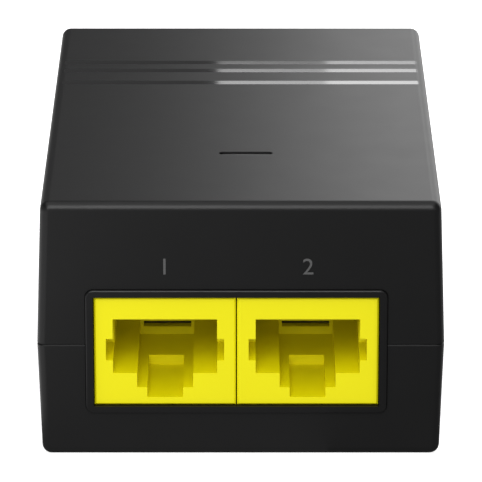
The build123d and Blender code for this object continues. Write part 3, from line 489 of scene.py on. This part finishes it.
def printNumeral(mark, node, values):
    outline = bpy.data.curves.new("numeral", "FONT")
    outline.body = mark
    outline.extrude = 0.5       # to each side, so that the film is one unit thick before it is scaled
    source = bpy.data.objects.new("numeral", outline)
    bpy.context.collection.objects.link(source)
    graph = bpy.context.evaluated_depsgraph_get()
    mesh = bpy.data.meshes.new_from_object(source.evaluated_get(graph), depsgraph=graph)
    bpy.data.objects.remove(source)
    xs = [v.co.x for v in mesh.vertices]
    ys = [v.co.y for v in mesh.vertices]
    size = values["height"] * mm / (max(ys) - min(ys))
    middle = Vector(((min(xs) + max(xs)) / 2, (min(ys) + max(ys)) / 2, 0))
    low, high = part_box(node)
    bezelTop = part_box("port_bezel")[1][2]
    place = Vector(((low[0] + high[0]) / 2, frontFace - values["film"] * mm / 2,
                    bezelTop + values["rise"] * mm))
    mesh.transform(Matrix.Translation(-middle))
    mesh.transform(Matrix.Diagonal((size, size, values["film"] * mm, 1)))
    mesh.transform(Matrix.Translation(place) @ Matrix.Rotation(math.radians(90), 4, "X"))
    mesh.materials.clear()
    mesh.materials.append(padInk)
    piece = bpy.data.objects.new("port_number_" + mark, mesh)
    bpy.context.collection.objects.link(piece)
    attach(piece, "case")


for mark, node in numeralValues["marks"].items():
    printNumeral(mark, node, numeralValues)
print("numerals printed")


# floor and light
studioValues = {
    "floor": ("#f4f4f4", "#f6f6f6"),
    "floorPatch": 400.0,    # mm
    "floorRoughness": 0.6,
    "floorHalf": 3.0,       # metres
    "baseInset": 1.5,       # mm, from the sides of the case to the opening under its base
    "floorGlow": 0.75,
    "world": 0.45,
}


def makeStudio(values):
    mesh = bpy.data.meshes.new("floor")
    # open under the case, so that the base can be looked at from below
    half = values["floorHalf"]
    left, right = caseLow[0] + values["baseInset"] * mm, caseHigh[0] - values["baseInset"] * mm
    front, back = caseLow[1] + values["baseInset"] * mm, caseHigh[1] - values["baseInset"] * mm
    mesh.from_pydata([(-half, -half, 0), (half, -half, 0), (half, half, 0), (-half, half, 0),
                      (left, front, 0), (right, front, 0), (right, back, 0), (left, back, 0)],
                     [], [(0, 1, 5, 4), (1, 2, 6, 5), (2, 3, 7, 6), (3, 0, 4, 7)])
    floor = bpy.data.objects.new("floor", mesh)
    bpy.context.collection.objects.link(floor)
    # white acrylic table, lit a little from below
    material, tree, coords = startMaterial("whiteAcrylicTable")
    endMaterial(tree, {
        "Base Color": patchyColour(tree, coords, values["floor"], values["floorPatch"]),
        "Roughness": values["floorRoughness"], "Emission Color": (1, 1, 1, 1),
        "Emission Strength": values["floorGlow"]})
    mesh.materials.append(material)
    # nothing mirrors the floor or the room: the panels below stand for both
    floor.visible_glossy = False
    floor.visible_diffuse = False
    floor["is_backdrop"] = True
    world = bpy.data.worlds.new("studio")
    world.use_nodes = True
    background = world.node_tree.nodes["Background"]
    background.inputs["Color"].default_value = (1, 1, 1, 1)
    background.inputs["Strength"].default_value = values["world"]
    world.cycles_visibility.glossy = False
    bpy.context.scene.world = world


# glow is each panel's brightness, beside 1 for white; places and sizes are in metres, and a
# panel with no "to" lies just above the floor and faces up, where the upright walls mirror it
softboxes = {
    # behind, for the top: bright on the right with its left edge near the middle
    "backRight": {"at": (0.275, 0.24, 0.15), "to": (0.275, 0, 0.15), "size": (0.52, 0.30), "glow": 1.2},
    # a narrow strip that only the polished stripes pick out
    "backStrip": {"at": (0.036, 0.235, 0.108), "to": (0.036, 0, 0.108), "size": (0.08, 0.022),
                  "glow": 2.0},
    "back": {"at": (0, 0.30, 0.18), "to": (0, 0, 0.18), "size": (1.2, 0.36), "glow": 0.14},
    "overhead": {"at": (0, -0.1, 1.3), "to": (0, -0.05, 0), "size": (1.6, 1.6), "glow": 0.75},
    # high in front, so that it reaches the ledges in the jacks and not their back walls
    "front": {"at": (-0.10, -0.95, 0.72), "to": (0, 0, 0.01), "size": (0.5, 0.80), "glow": 4.3},
    # on the table in front, brighter to the left
    "tableLeft": {"at": (-0.23, -0.20, 0.0006), "size": (0.40, 0.44), "glow": 0.55},
    "tableMiddle": {"at": (-0.14, -0.25, 0.0004), "size": (0.30, 0.5), "glow": 0.08},
    "tableFront": {"at": (0, -0.25, 0.0002), "size": (1.0, 0.5), "glow": 0.11},
    # on the table beside and behind, for the other walls
    "tableRight": {"at": (0.32, 0.16, 0.0002), "size": (0.58, 0.38), "glow": 0.40},
    "tableFarLeft": {"at": (-0.32, 0.16, 0.0002), "size": (0.58, 0.38), "glow": 0.40},
    "tableBack": {"at": (0, 0.33, 0.0003), "size": (1.0, 0.58), "glow": 0.30},
    # low in front and on the left, which the top mirrors when it is seen from behind
    "frontLow": {"at": (0.1, -0.6, 0.19), "to": (0, 0, 0.01), "size": (1.4, 0.18), "glow": 0.40},
    "leftLow": {"at": (-0.7, 0, 0.19), "to": (0, 0, 0.01), "size": (0.8, 0.18), "glow": 0.40},
}


def addSoftbox(name, values):
    data = bpy.data.lights.new(name, "AREA")
    data.shape = "RECTANGLE"
    data.size, data.size_y = values["size"]
    data.energy = values["glow"] * math.pi * data.size * data.size_y
    light = bpy.data.objects.new(name, data)
    light.location = values["at"]
    aim = Vector((0, 0, 1))
    if "to" in values:
        aim = Vector(values["to"]) - Vector(values["at"])
    light.rotation_euler = aim.to_track_quat("-Z", "Y").to_euler()
    light.visible_camera = False
    bpy.context.collection.objects.link(light)


makeStudio(studioValues)
for name, values in softboxes.items():
    addSoftbox(name, values)
bpy.context.scene.view_settings.view_transform = "Standard"     # keeps the yellow pure
print("studio lit")

low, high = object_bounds()
